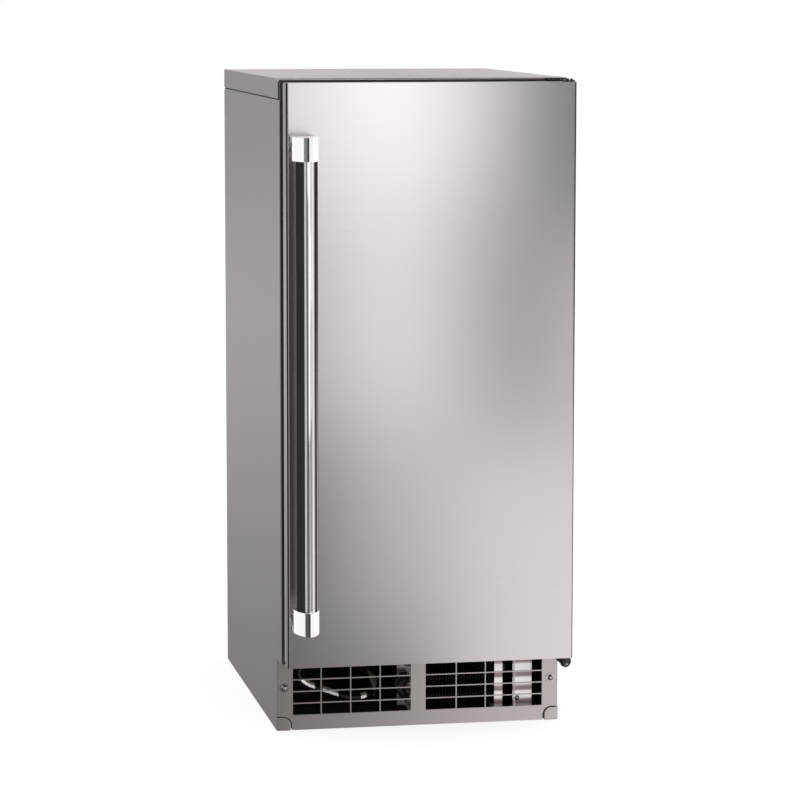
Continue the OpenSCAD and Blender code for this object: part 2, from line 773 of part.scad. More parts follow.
valve_top = 84;
inlet_r = 13.2;                   // 3/4 inch hose thread, plain
inlet_nut = 2;
module water_inlet_valve() {
    color("white") difference() {
        union() {
            block([water_in[0] - 17, back_y - 42, 45], [water_in[0] + 17, back_y - 3, 76]);
            rod_z(75, valve_top, water_in[0], riser_y, 6);
            rod_y(back_y - 4, back_y + inlet_nut, water_in[0], water_in[1], 12.5);
            rod_y(back_y, back_y + inlet_nut, water_in[0], water_in[1], 16);
            rod_y(back_y + inlet_nut, back_y + fitting_reach, water_in[0], water_in[1], inlet_r);
            rod_x(water_in[0] - 30, water_in[0] - 16, back_y - 24, water_in[1], 13);
        }
        rod_y(back_y - 10, back_y + fitting_reach + eps, water_in[0], water_in[1], 9);
    }
}
water_route = [
    [water_in[0], riser_y, valve_top], [water_in[0], riser_y, 150], [water_in[0], riser_y, 300],
    [water_in[0], riser_y, 450], [water_in[0], riser_y, 560], [water_in[0], riser_y, 640],
    [water_in[0], riser_y - 4, 658], [water_in[0], riser_y - 14, water_end_z],
    [water_in[0], 262, water_end_z], [water_in[0], 252, water_end_z], [water_in[0], 246, 661],
    [water_in[0], 244, 655]
];
module water_tube() {
    color(plastic) tube(water_route, 3.2, 3, 8);
}
drain_route = [
    [drain[0], drain[1], 138], [drain[0], drain[1], 118], [-130, -96, 98], [-143, -96, 78], [-151, -96, 60],
    [-140, -96, 46], [-124, -96, 39], [-108, -96, 33], [-91, -96, 27], [-75, -96, 24], [-60, -95, 25],
    [-48, -90, 30], [-42, -74, 39], [-46, -44, 46], [-54, 0, 46], [-62, 60, 43], [-66, 130, 40],
    [-64, 210, 40], [drain_out[0], 270, 40], [drain_out[0], back_y - 15, 40]
];
module drain_hose() {
    color(dark) tube(drain_route, 7, 3, 12);
}
module drain_fitting() {
    color(dark) difference() {
        union() {
            rod_y(back_y - 15, back_y + fitting_reach, drain_out[0], drain_out[1], 9.5);
            rod_y(back_y, back_y + 3, drain_out[0], drain_out[1], 15);
        }
        rod_y(back_y - 14, back_y + fitting_reach + eps, drain_out[0], drain_out[1], 7);
    }
}
module cord_bushing() {
    color(dark) difference() {
        union() {
            rod_y(back_y - 8, back_y + 5, cord_in[0], cord_in[1], 9);
            rod_y(back_y, back_y + 3, cord_in[0], cord_in[1], 13);
        }
        rod_y(back_y - 9, back_y + 6, cord_in[0], cord_in[1], 4.5);
    }
}

// ---- Controls inside the bin ----

panel_y = [face_y + 21, face_y + 71];
panel_z = [bin_z1 - 42, bin_z1];
button_z = bin_z1 - 22;
button_dx = 25;
module control_panel() {
    t = 3;
    color(dark) difference() {
        block([-70, panel_y[0], panel_z[0]], [70, panel_y[1], panel_z[1]]);
        block([-70 + t, panel_y[0] + t, panel_z[0] + t], [70 - t, panel_y[1] - t, panel_z[1] - t]);
        for (side = [-1, 1]) rod_y(panel_y[0] - eps, panel_y[0] + 5, side * button_dx, button_z, 8.35);
    }
}
module button(x) {
    union() {
        rod_y(panel_y[0] - 3, panel_y[0] + 14, x, button_z, 8);
        rod_y(panel_y[0] + 3.4, panel_y[0] + 5.4, x, button_z, 11);
    }
}
module power_button() {
    color("white") button(-button_dx);
}
module clean_button() {
    color("white") button(button_dx);
}

// ---- Door ----

module rounded_front(w, y, depth, r) {
    union() {
        translate([-w, y + r]) square([2 * w, depth - r]);
        translate([-w + r, y]) square([2 * (w - r), depth]);
        for (side = [-1, 1]) translate([side * (w - r), y + r]) circle(r = r);
    }
}
module bush_holes() {
    rod_z(door_z0 - eps, door_z0 + bush_h, pivot[0], pivot[1], bush_r);
    rod_z(door_z1 - bush_h, door_z1 + eps, pivot[0], pivot[1], bush_r);
}
handle_screw_zs = [handle_z0 + 10, handle_z1 - 10];
module handle_screw_holes(r) {
    for (z = handle_screw_zs, dx = [-8, 8]) rod_y(door_y - 10, door_y + 3, handle_x + dx, z, r);
}
module door_skin() {
    flange = 7;
    color(steel) difference() {
        translate([0, 0, door_z0]) linear_extrude(door_z1 - door_z0)
            rounded_front(door_half, door_y, skin_depth, fold_r);
        translate([0, sheet, door_z0 + sheet]) linear_extrude(door_z1 - door_z0 - 2 * sheet)
            rounded_front(door_half - sheet, door_y, skin_depth - 2 * sheet, fold_r - 1);
        block(
            [-door_half + flange, skin_back - 2 * sheet, door_z0 + flange],
            [door_half - flange, skin_back + eps, door_z1 - flange]
        );
        bush_holes();
        handle_screw_holes(2.5 + play);
    }
}
// Steps of the liner behind the skin, each with its half width and its distance in from the
// skin's top and bottom
neck = [door_half - 5.5, 5.5];
rim = [door_half - 2, 2];
dyke = [bin_w - 12, 59];
dyke_y = face_y + 6;
module liner_step(step, inset, y0, y1) {
    w = step[0] - inset;
    block([-w, y0, door_z0 + step[1] + inset], [w, y1, door_z1 - step[1] - inset]);
}
module liner_steps(inset) {
    liner_step(neck, inset, skin_back - eps, neck_y + 2 * inset);
    liner_step(rim, inset, neck_y + inset, rim_y - inset);
    liner_step(dyke, inset, neck_y + inset, dyke_y - inset);
}
module door_liner() {
    color("lightgray") difference() {
        liner_steps(0);
        liner_steps(liner_t);
        block([-half_w, skin_back - 2 * eps, 0], [half_w, skin_back, cabinet_h]);
    }
}
module door_foam() {
    color("wheat") difference() {
        union() {
            translate([0, sheet, door_z0 + sheet]) linear_extrude(door_z1 - door_z0 - 2 * sheet)
                rounded_front(door_half - sheet, door_y, skin_depth - 2 * sheet, fold_r - 1);
            intersection() {
                liner_steps(liner_t);
                block([-half_w, skin_back - sheet, 0], [half_w, face_y + 20, cabinet_h]);
            }
            block(
                [-neck[0] + liner_t, skin_back - 2 * sheet, door_z0 + neck[1] + liner_t],
                [neck[0] - liner_t, skin_back, door_z1 - neck[1] - liner_t]
            );
        }
        bush_holes();
        for (z = handle_screw_zs, dx = [-8, 8]) rod_y(door_y, door_y + 7, handle_x + dx, z, 6);
    }
}
gasket_w = 14;
gasket_x = bin_w + 24;
gasket_z = [bin_z0 - 18, bin_z1 + 18];
module door_gasket() {
    color(dark) difference() {
        block([-gasket_x, rim_y, gasket_z[0]], [gasket_x, face_y - 0.4, gasket_z[1]]);
        block(
            [-gasket_x + gasket_w, rim_y - eps, gasket_z[0] + gasket_w],
            [gasket_x - gasket_w, face_y, gasket_z[1] - gasket_w]
        );
    }
}

// ---- Handle ----

module handle_bar() {
    color("gainsboro") difference() {
        rod_z(handle_z0 + bracket_h, handle_z1 - bracket_h, handle_x, bar_y, bar_d / 2);
        rod_z(handle_z0 + bracket_h - eps, handle_z1 - bracket_h + eps, handle_x, bar_y, bar_d / 2 - 1.6);
    }
}
// How far the cap's front has fallen back at a share u of its half width: a wedge with a rounded nose
nose = 33;
nose_power = 1.5;
function nose_depth(u) = nose * (1 - pow(1 - pow(abs(u), nose_power), 1 / nose_power));

// End cap with a wedge front, and an arched neck back to the door.
// Built for the upper end, with its top at Z = 0.
module handle_bracket() {
    half = bracket_w / 2;
    back = bar_y + bar_d / 2 + 2;
    union() {
        translate([handle_x, 0, -bracket_h]) linear_extrude(bracket_h) polygon(concat(
            [[half, back], [-half, back]],
            [for (a = [-90 : 7.5 : 90]) [half * sin(a), tip_y + nose_depth(sin(a))]]
        ));
        translate([handle_x - half, 0, 0]) rotate([90, 0, 90]) linear_extrude(bracket_w) polygon(concat(
            [[back - 1, 0], [door_y, 0], [door_y, -neck_root]],
            [for (a = [10 : 10 : 80]) neck_arch(back, a)],
            [[back, -neck_thin], [back - 1, -neck_thin]]
        ));
    }
}
function neck_arch(back, a) =
    [back + (door_y - back) * cos(a), -neck_root + (neck_root - neck_thin) * sin(a)];
module handle_top_bracket() {
    color("whitesmoke") difference() {
        translate([0, 0, handle_z1]) handle_bracket();
        handle_screw_holes(2.5 + play);
    }
}
module handle_bottom_bracket() {
    color("whitesmoke") difference() {
        translate([0, 0, handle_z0]) mirror([0, 0, 1]) handle_bracket();
        handle_screw_holes(2.5 + play);
    }
}
module handle_screws() {
    color(steel) for (z = handle_screw_zs, dx = [-8, 8])
        translate([handle_x + dx, door_y + sheet, z]) rotate([-90, 0, 0]) dome_screw(4.5, 2.8, 2.5, 10);
}

// ---- Hinges ----

hinge_x = [half_w - 29, half_w - 1.5];
nose_r = hinge_x[1] - pivot[0];   // rounded end of a hinge plate
bottom_plate_z = [kick_h - 4, kick_h];
top_plate_z = [frame_top, frame_top + 2.2];
top_arm_z = top_plate_z[0] + 1.4;
screw_spots = [for (dx = [4.5, 14.5]) [hinge_x[0] + dx, face_y + 5]];
module hinge_screw_holes() {
    for (s = screw_spots) {
        rod_z(top_plate_z[0] - 12, top_plate_z[0] + eps, s[0], s[1], 2.2 + play);
        rod_z(kick_h - eps, kick_h + 14, s[0], s[1], 2.2 + play);
    }
}
// A plate between x0 and x1 that runs back to y, with a thinner arm forward to the pivot
module hinge_plate(z0, z1, x1, y, arm_z) {
    union() {
        block([hinge_x[0], face_y - 6, z0], [x1, y, z1]);
        block([pivot[0] - nose_r, pivot[1], z0], [hinge_x[1], face_y, arm_z]);
        rod_z(z0, arm_z, pivot[0], pivot[1], nose_r);
    }
}
module top_hinge_plate() {
    color(dark) difference() {
        union() {
            hinge_plate(top_plate_z[0], top_plate_z[1], hinge_x[1] - 7, face_y + 50, top_arm_z);
            block([hinge_x[0], face_y - 6, top_plate_z[0]], [hinge_x[1] - 7, cover_y - 0.4, cabinet_h]);
        }
        rod_z(top_plate_z[0] - eps, top_plate_z[1] + eps, pivot[0], pivot[1], pin_r);
        for (s = screw_spots) {
            rod_z(top_plate_z[0] - eps, top_plate_z[1] + eps, s[0], s[1], 2.2 + play);
            rod_z(top_plate_z[1] - 1.2, cabinet_h + eps, s[0], s[1], 4 + play);
        }
    }
}
module bottom_hinge_bracket() {
    color(dark) difference() {
        hinge_plate(bottom_plate_z[0], bottom_plate_z[1], hinge_x[1], kick_y - 0.6, bottom_plate_z[1]);
        rod_z(bottom_plate_z[0] - eps, bottom_plate_z[1] + eps, pivot[0], pivot[1], pin_r);
        for (s = screw_spots) rod_z(bottom_plate_z[0] - eps, bottom_plate_z[1] + eps, s[0], s[1], 2.2 + play);
    }
}
module hinge_pins() {
    color(steel) {
        union() {
            rod_z(top_arm_z, cabinet_h, pivot[0], pivot[1], 4.4);
            rod_z(door_z1 - bush_h + 2, top_arm_z + 0.2, pivot[0], pivot[1], pin_r);
        }
        union() {
            translate([pivot[0], pivot[1], bottom_plate_z[0]]) mirror([0, 0, 1]) dome_screw(7, 6, pin_r, 0);
            rod_z(bottom_plate_z[0] - 0.2, door_z0 + bush_h - 2, pivot[0], pivot[1], pin_r);
        }
    }
}
module hinge_bushes() {
    bore = pin_r + 0.06;
    color("ivory") {
        difference() {
            rod_z(door_z1 - bush_h, door_z1, pivot[0], pivot[1], bush_r);
            rod_z(door_z1 - bush_h - eps, door_z1 + eps, pivot[0], pivot[1], bore);
        }
        difference() {
            union() {
                rod_z(door_z0, door_z0 + bush_h, pivot[0], pivot[1], bush_r);
                rod_z(bottom_plate_z[1] + 0.4, door_z0, pivot[0], pivot[1], flange_r);
            }
            rod_z(bottom_plate_z[1], door_z0 + bush_h + eps, pivot[0], pivot[1], bore);
        }
    }
}
module hinge_screws() {
    color(steel) for (s = screw_spots) {
        union() {
            rod_z(top_plate_z[1] - 1.2, top_plate_z[1], s[0], s[1], 4);
            rod_z(top_plate_z[0] - 11, top_plate_z[1] - 1, s[0], s[1], 2.2);
        }
        translate([s[0], s[1], bottom_plate_z[0]]) rotate([180, 0, 0]) dome_screw(4, 2.4, 2.2, 16);
    }
}

// ---- Levelling feet ----

module foot(side, y) {
    color(dark) union() {
        rod_z(0, 7, side * foot_x, y, 11);
        rod_z(6, 42, side * foot_x, y, 4);
    }
}
module foot_front_left() {
    foot(-1, foot_ys[0]);
}
module foot_front_right() {
    foot(1, foot_ys[0]);
}
module foot_rear_left() {
    foot(-1, foot_ys[1]);
}
module foot_rear_right() {
    foot(1, foot_ys[1]);
}

left_side_panel();
right_side_panel();
rear_panel();
top_cover();
base_pan();
front_frame();
kickplate();
kickplate_screws();
kick_corner_caps();
panel_screws();
foam_insulation();
bin_liner();
bin_drain_grate();
scoop_holder();
ice_scoop();
condenser_fins();
condenser_coil();
condenser_end_plates();
condenser_bracket();
fan_shroud();
fan_blade();
fan_motor();
compressor();
compressor_mounts();
discharge_tube();
suction_tube();
filter_drier();
evaporator();
spray_bar();
water_reservoir();
water_pump();
pump_impeller();
ice_chute();
chute_curtain();
water_inlet_valve();
water_tube();
drain_hose();
drain_fitting();
cord_bushing();
control_panel();
power_button();
clean_button();
bin_thermostat();
door_skin();
door_foam();
door_liner();
door_gasket();
handle_bar();
handle_top_bracket();
handle_bottom_bracket();
handle_screws();
top_hinge_plate();
bottom_hinge_bracket();
hinge_pins();
hinge_bushes();
hinge_screws();
foot_front_left();
foot_front_right();
foot_rear_left();
foot_rear_right();
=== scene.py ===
"""Under-counter ice maker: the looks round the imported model, in metres, in the model's own frame."""
import json
import math

import bmesh
import bpy
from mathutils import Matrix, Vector


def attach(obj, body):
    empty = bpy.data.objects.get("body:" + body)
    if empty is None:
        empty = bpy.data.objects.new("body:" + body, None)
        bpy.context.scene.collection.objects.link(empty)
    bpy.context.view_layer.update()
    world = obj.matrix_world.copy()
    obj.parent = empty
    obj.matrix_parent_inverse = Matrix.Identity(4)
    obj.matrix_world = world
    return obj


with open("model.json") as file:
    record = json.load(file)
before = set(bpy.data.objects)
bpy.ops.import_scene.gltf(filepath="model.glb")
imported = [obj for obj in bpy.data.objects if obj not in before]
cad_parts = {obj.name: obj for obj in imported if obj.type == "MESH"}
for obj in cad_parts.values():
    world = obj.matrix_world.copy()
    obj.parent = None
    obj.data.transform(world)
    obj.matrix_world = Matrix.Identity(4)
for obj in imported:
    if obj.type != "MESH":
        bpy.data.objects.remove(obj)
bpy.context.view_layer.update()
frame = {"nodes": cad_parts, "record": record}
nodes = frame["nodes"]
slot_of_node = {s["node"]: s["material_slot"] for s in frame["record"]["subparts"]}
scene = bpy.context.scene
MM = 0.001
WHITE = (1.0, 1.0, 1.0, 1.0)
HANDLE = (-0.1685, -0.296)                     # the handle bar's axis, in plan
DOOR_FRONT = -0.254                            # the door skin's front face, in y


def fill_ramp(ramp, stops):
    """Sets a colour ramp's stops, each a place from 0 to 1 and a colour."""
    points = ramp.color_ramp.elements
    while len(points) < len(stops):
        points.new(0.5)
    for point, (place, color) in zip(points, stops):
        point.position = place
        point.color = (*color, 1.0)


# ---- Camera ----

def make_camera():
    place = (-0.8105, -4.2529, 0.9616)
    yaw, pitch, roll = 10.875, 7.232, -0.05    # degrees: towards +X, downwards, about the view line
    data = bpy.data.cameras.new("camera")
    data.lens = 144.8
    data.sensor_width = 36.0
    data.clip_start, data.clip_end = 0.05, 60.0
    cam = bpy.data.objects.new("camera", data)
    cam.location = place
    cam.rotation_euler = (math.radians(90.0 - pitch), math.radians(roll), math.radians(-yaw))
    scene.collection.objects.link(cam)
    scene.camera = cam


# ---- Node helpers for materials ----

class Shader:
    """A principled material, with short calls for the nodes that drive it."""

    def __init__(self, name, color, roughness, metallic=0.0, **values):
        self.material = bpy.data.materials.new(name)
        self.material.use_nodes = True
        self.tree = self.material.node_tree
        self.bsdf = self.tree.nodes["Principled BSDF"]
        self.set("Base Color", (*color, 1.0))
        self.set("Metallic", metallic)
        self.set("Roughness", roughness)
        for key, value in values.items():
            self.set(key.replace("_", " ").title().replace("Ior", "IOR"), value)
        self.color = color

    def set(self, socket, value):
        self.bsdf.inputs[socket].default_value = value

    def feed(self, socket, source):
        self.tree.links.new(source, self.bsdf.inputs[socket])

    def node(self, kind, **inputs):
        made = self.tree.nodes.new(kind)
        for key, value in inputs.items():
            if isinstance(value, bpy.types.NodeSocket):
                self.tree.links.new(value, made.inputs[key])
            else:
                made.inputs[key].default_value = value
        return made

    def coords(self, stretch=(1.0, 1.0, 1.0)):
        source = self.tree.nodes.new("ShaderNodeTexCoord").outputs["Object"]
        mapping = self.node("ShaderNodeMapping", Scale=stretch)
        self.tree.links.new(source, mapping.inputs["Vector"])
        return mapping.outputs["Vector"]

    def along(self, axis):
        return self.node("ShaderNodeSeparateXYZ", Vector=self.coords()).outputs[axis]

    def noise(self, scale, stretch=(1.0, 1.0, 1.0), detail=3.0, roughness=0.55):
        made = self.node("ShaderNodeTexNoise", Vector=self.coords(stretch), Scale=scale, Detail=detail,
                         Roughness=roughness)
        return made.outputs["Fac"]

    def remap(self, value, low, high, new_low, new_high):
        made = self.node("ShaderNodeMapRange", Value=value)
        for key, number in zip(("From Min", "From Max", "To Min", "To Max"), (low, high, new_low, new_high)):
            made.inputs[key].default_value = number
        return made.outputs["Result"]

    def bands(self, axis, edges, first, second):
        """Two colours by turns along one axis of the part, changing at each edge."""
        margin = 0.01
        low, high = edges[0] - margin, edges[-1] + margin
        ramp = self.node("ShaderNodeValToRGB", Fac=self.remap(self.along(axis), low, high, 0.0, 1.0))
        ramp.color_ramp.interpolation = "CONSTANT"
        fill_ramp(ramp, [((edge - low) / (high - low), second if i % 2 else first)
                         for i, edge in enumerate((low, *edges))])
        self.feed("Base Color", ramp.outputs["Color"])

    def above(self, height, color):
        """One colour everywhere above a height, over what colours the surface already."""
        blend = 0.0003
        mix = self.tree.nodes.new("ShaderNodeMix")
        mix.data_type = "RGBA"
        factor, under, over = (mix.inputs[i] for i in (0, 6, 7))    # a Mix node's sockets for colours
        result = mix.outputs[2]
        over.default_value = (*color, 1.0)
        self.tree.links.new(self.remap(self.along("Z"), height - blend, height + blend, 0.0, 1.0), factor)
        self.tree.links.new(self.bsdf.inputs["Base Color"].links[0].from_socket, under)
        self.feed("Base Color", result)

    def vary_color(self, value, dark, light, low=0.3, high=0.7):
        ramp = self.node("ShaderNodeValToRGB", Fac=value)
        darker = [c * dark for c in self.color]
        lighter = [min(c * light, 1.0) for c in self.color]
        fill_ramp(ramp, ((low, darker), (high, lighter)))
        self.feed("Base Color", ramp.outputs["Color"])

    def vary_roughness(self, value, low, high):
        self.feed("Roughness", self.remap(value, 0.3, 0.7, low, high))

    def bump(self, value, height, strength):
        made = self.node("ShaderNodeBump", Height=value, Distance=height, Strength=strength)
        self.feed("Normal", made.outputs["Normal"])


# ---- Materials ----

def brushed_steel(name, color, roughness):
    """Sheet steel with a fine level grain."""
    streak, grain_height = 0.02, 0.000004
    s = Shader(name, color, metallic=1.0, roughness=roughness, anisotropic=0.25, anisotropic_rotation=0.25)
    tangent = s.tree.nodes.new("ShaderNodeTangent")
    tangent.direction_type = "RADIAL"
    tangent.axis = "Z"
    s.feed("Tangent", tangent.outputs["Tangent"])
    grain = s.noise(4.0, (1.0, 1.0, 300.0), detail=5.0, roughness=0.6)
    s.vary_color(grain, 1.0 - streak, 1.0 + streak)
    s.vary_roughness(s.noise(2.5), roughness - 0.01, roughness + 0.01)
    s.bump(grain, grain_height, 0.2)
    return s.material


def smooth_plastic(name, color, roughness, grain=0.000002, scale=900.0):
    s = Shader(name, color, roughness=roughness)
    s.vary_color(s.noise(18.0), 0.96, 1.03)
    s.vary_roughness(s.noise(60.0), roughness - 0.04, roughness + 0.05)
    s.bump(s.noise(scale, detail=2.0), grain, 0.4)
    return s.material


def rubber(name, color, roughness):
    s = Shader(name, color, roughness=roughness, specular_ior_level=0.35)
    s.vary_color(s.noise(40.0), 0.85, 1.15)
    s.vary_roughness(s.noise(120.0), roughness - 0.08, roughness + 0.08)
    s.bump(s.noise(1400.0, detail=2.0), 0.00002, 0.5)
    return s.material


def polished(name, color, roughness, metallic=1.0, edge=1.0):
    """Bright metal; an edge below one keeps it from brightening where it turns away."""
    s = Shader(name, color, metallic=metallic, roughness=roughness)
    s.set("Specular Tint", (edge, edge, edge, 1.0))
    s.vary_color(s.noise(30.0), 0.985, 1.01)
    s.vary_roughness(s.noise(80.0, detail=5.0), roughness * 0.8, roughness * 1.3)
    return s.material


def galvanised(name, color):
    """Zinc coat with its faint crystal spangle."""
    s = Shader(name, color, metallic=1.0, roughness=0.38)
    spangle = s.node("ShaderNodeTexVoronoi", Vector=s.coords(), Scale=160.0)
    s.vary_color(spangle.outputs["Color"], 0.88, 1.08, 0.2, 0.8)
    s.vary_roughness(spangle.outputs["Distance"], 0.33, 0.46)
    return s.material


def shaded_strip(name, lit, shade, pitch):
    """Zinc-coated strip behind the grille, with the soft shade that each grille bar casts on it painted into
    its colour as bands (painted shade).
    """
    foot, count = 0.0015, 8                    # where the lowest shade line starts, and how many there are
    s = Shader(name, lit, metallic=0.4, roughness=0.32)
    phase = s.tree.nodes.new("ShaderNodeMath")
    phase.operation = "FRACT"
    s.tree.links.new(s.remap(s.along("Z"), foot, foot + count * pitch, 0.0, count), phase.inputs[0])
    # painted shade: dark bands just under each grille bar, the strip's lit colour between them
    ramp = s.node("ShaderNodeValToRGB", Fac=phase.outputs[0])
    fill_ramp(ramp, ((0.0, shade), (0.22, shade), (0.45, lit), (0.85, lit), (1.0, shade)))
    s.feed("Base Color", ramp.outputs["Color"])
    s.vary_roughness(s.noise(60.0), 0.28, 0.38)
    return s.material


def copper(name, color, roughness=0.28):
    s = Shader(name, color, metallic=1.0, roughness=roughness)
    s.vary_color(s.noise(45.0, detail=6.0), 0.72, 1.08)
    s.vary_roughness(s.noise(25.0, detail=4.0), roughness - 0.06, roughness + 0.14)
    return s.material


def tube_with_painted_shade(name, color, painted_shade_color):
    """A bright metal tube painted black along the stretches that lie in shade (painted shade), so that it
    shows bright only where light falls on it through the grille.
    """
    # the x at which the tube turns between bright metal and painted shade; the height above which it is all
    # painted shade comes next
    ends = (-0.1560, -0.1280, -0.1170, -0.0960, -0.0655, -0.0580, -0.0480, -0.0380)
    painted_shade_height = 0.054
    s = Shader(name, color, metallic=1.0, roughness=0.18)
    s.bands("X", ends, painted_shade_color, color)
    s.above(painted_shade_height, painted_shade_color)
    s.vary_roughness(s.noise(80.0), 0.15, 0.22)
    return s.material


def grille_screw(name, washer, head):
    """A bright dome head on a washer in the plate's own grey."""
    washer_front = -0.16705
    s = Shader(name, head, metallic=1.0, roughness=0.16)
    s.bands("Y", (washer_front,), head, washer)
    s.vary_roughness(s.noise(300.0), 0.14, 0.22)
    return s.material


def foam(name, color):
    s = Shader(name, color, roughness=0.9)
    cells = s.node("ShaderNodeTexVoronoi", Vector=s.coords(), Scale=700.0)
    s.vary_color(s.noise(12.0), 0.86, 1.06)
    s.bump(cells.outputs["Distance"], 0.0003, 0.6)
    return s.material


def make_materials():
    return {
        # painted shade: the base pan is made near-black to stand in for the shade inside the base
        "pan_painted_shade": rubber("pan_painted_shade", (0.008, 0.007, 0.008), 0.85),
        "grille_screw": grille_screw("grille_screw", (0.52, 0.47, 0.475), (0.50, 0.49, 0.49)),
        "zinc_strip_painted_shade": shaded_strip("zinc_strip_painted_shade", (1.0, 0.95, 0.95), (0.30, 0.22, 0.23), 0.0185),
        "door_steel": brushed_steel("door_steel", (0.650, 0.603, 0.620), 0.25),
        "cabinet_steel": brushed_steel("cabinet_steel", (0.55, 0.478, 0.493), 0.30),
        "grille_grey": brushed_steel("grille_grey", (0.52, 0.47, 0.475), 0.36),
        "liner_grey": smooth_plastic("liner_grey", (0.42, 0.41, 0.415), 0.42),
        "black_plastic": smooth_plastic("black_plastic", (0.018, 0.017, 0.018), 0.45, 0.00002, 1200.0),
        "white_plastic": smooth_plastic("white_plastic", (0.80, 0.81, 0.81), 0.30),
        "bush_plastic": smooth_plastic("bush_plastic", (0.03, 0.028, 0.029), 0.5),
        "scoop_plastic": smooth_plastic("scoop_plastic", (0.55, 0.58, 0.6), 0.28),
        "curtain_plastic": smooth_plastic("curtain_plastic", (0.66, 0.72, 0.75), 0.18),
        "foot_black": smooth_plastic("foot_black", (0.025, 0.025, 0.026), 0.5, 0.00003, 800.0),
        "black_rubber": rubber("black_rubber", (0.02, 0.019, 0.02), 0.32),
        "gasket_rubber": rubber("gasket_rubber", (0.03, 0.028, 0.029), 0.62),
        "handle_steel": polished("handle_steel", (0.86, 0.85, 0.855), 0.07, edge=0.15),
        "bracket_chrome": polished("bracket_chrome", (0.95, 0.945, 0.945), 0.10, metallic=0.97),
        "screw_steel": polished("screw_steel", (0.50, 0.48, 0.485), 0.2),
        "galvanised_steel": galvanised("galvanised_steel", (0.86, 0.83, 0.84)),
        # painted shade: the fins are near-black rather than bare aluminium, to stand in for the shade inside
        # the base
        "aluminium_fins": polished("aluminium_fins", (0.02, 0.018, 0.019), 0.6),
        # the black stretches of this tube are painted shade
        "bright_tube": tube_with_painted_shade("bright_tube", (0.90, 0.89, 0.89), (0.02, 0.02, 0.02)),
        "copper": copper("copper", (0.78, 0.42, 0.27)),
        "tinned_copper": copper("tinned_copper", (0.62, 0.60, 0.58), 0.3),
        "motor_metal": galvanised("motor_metal", (0.22, 0.22, 0.23)),
        "compressor_black": smooth_plastic("compressor_black", (0.012, 0.012, 0.013), 0.22),
        "hinge_black": smooth_plastic("hinge_black", (0.02, 0.019, 0.02), 0.35),
        "foam": foam("foam", (0.62, 0.56, 0.46)),
    }


# ---- The CAD nodes: round their edges and give each its material ----

def soften(obj, width):
    """Welds the node's split corners, then rounds its sharp edges, all as modifiers."""
    weld = obj.modifiers.new("weld", "WELD")
    weld.merge_threshold = 0.00001
    flat = obj.modifiers.new("flat", "DECIMATE")
    flat.decimate_type = "DISSOLVE"
    flat.angle_limit = math.radians(0.5)
    edge = obj.modifiers.new("edge", "BEVEL")
    edge.width = width
    edge.segments = 2
    edge.limit_method = "ANGLE"
    edge.angle_limit = math.radians(40)
    smooth = obj.modifiers.new("smooth", "WEIGHTED_NORMAL")
    smooth.keep_sharp = False


# Nodes whose finish differs from that of their slot; for the base pan and the strips behind the grille that
# finish is painted shade
OWN_FINISH_AND_PAINTED_SHADE = {"base_pan": "pan_painted_shade", "kickplate_screws": "grille_screw", "condenser_bracket": "zinc_strip_painted_shade",
              "condenser_end_plates": "zinc_strip_painted_shade"}
# Nodes with rounded edges, and the width of the rounding in millimetres
ROUNDED = (
    ("top_cover", 0.5), ("left_side_panel", 0.5), ("right_side_panel", 0.5), ("kickplate", 0.35),
    ("kick_corner_caps", 1.0), ("handle_top_bracket", 0.8), ("handle_bottom_bracket", 0.8),
    ("top_hinge_plate", 0.5), ("bottom_hinge_bracket", 0.6), ("door_liner", 0.8), ("condenser_bracket", 0.5),
    ("kickplate_screws", 0.25), ("front_frame", 0.6), ("control_panel", 0.6), ("power_button", 0.5),
    ("clean_button", 0.5), ("bin_liner", 1.5),
)


def dress_nodes(materials):
    for name, obj in nodes.items():
        made = materials[OWN_FINISH_AND_PAINTED_SHADE.get(name, slot_of_node[name])]
        if obj.material_slots:
            for s in obj.material_slots:
                s.material = made
        else:
            obj.data.materials.append(made)
    for name, width in ROUNDED:
        soften(nodes[name], width * MM)


# ---- Pieces that the looks need beside the CAD nodes ----

def make_seam_shade_strips(materials):
    """The strip in the open joint under the top cover's skirt, with rounded lips, on both sides, made
    near-black to stand in for the shade inside the joint (painted shade).
    """
    mesh = bmesh.new()
    ends = (-0.1945, 0.3035)                   # in y
    outline = ((0.1760, 0.8252), (0.1872, 0.8252), (0.1878, 0.8255), (0.1880, 0.82585), (0.1878, 0.8262),
               (0.1872, 0.8265), (0.1760, 0.8265))
    count = len(outline)
    for side in (-1, 1):
        rings = [[mesh.verts.new((side * x, y, z)) for x, z in outline] for y in ends]
        for i in range(count):
            following = (i + 1) % count
            mesh.faces.new((rings[0][i], rings[0][following], rings[1][following], rings[1][i]))
        for ring in rings:
            mesh.faces.new(ring)
    bmesh.ops.recalc_face_normals(mesh, faces=mesh.faces)
    data = bpy.data.meshes.new("seam_shade_strips")
    mesh.to_mesh(data)
    mesh.free()
    # painted shade: the dark rubber finish here stands in for the shade inside the joint
    data.materials.append(materials["gasket_rubber"])
    strips = bpy.data.objects.new("seam_shade_strips", data)
    scene.collection.objects.link(strips)
    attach(strips, "cabinet")


# ---- Stage ----

def make_floor():
    """A pale floor with a glow of its own, so that the ground stays as light as the backdrop."""
    s = Shader("floor_paint", (0.22, 0.22, 0.22), roughness=1.0, emission_strength=0.82)
    s.set("Emission Color", WHITE)
    s.set("Specular IOR Level", 0.0)
    s.vary_color(s.noise(3.0), 0.98, 1.02)
    mesh = bpy.data.meshes.new("floor")
    half = 14.0
    corners = [(-half, -half, 0), (half, -half, 0), (half, half, 0), (-half, half, 0)]
    mesh.from_pydata(corners, [], [(0, 1, 2, 3)])
    mesh.materials.append(s.material)
    floor = bpy.data.objects.new("floor", mesh)
    floor.visible_glossy = False
    floor.visible_diffuse = False
    floor.visible_shadow = False
    scene.collection.objects.link(floor)


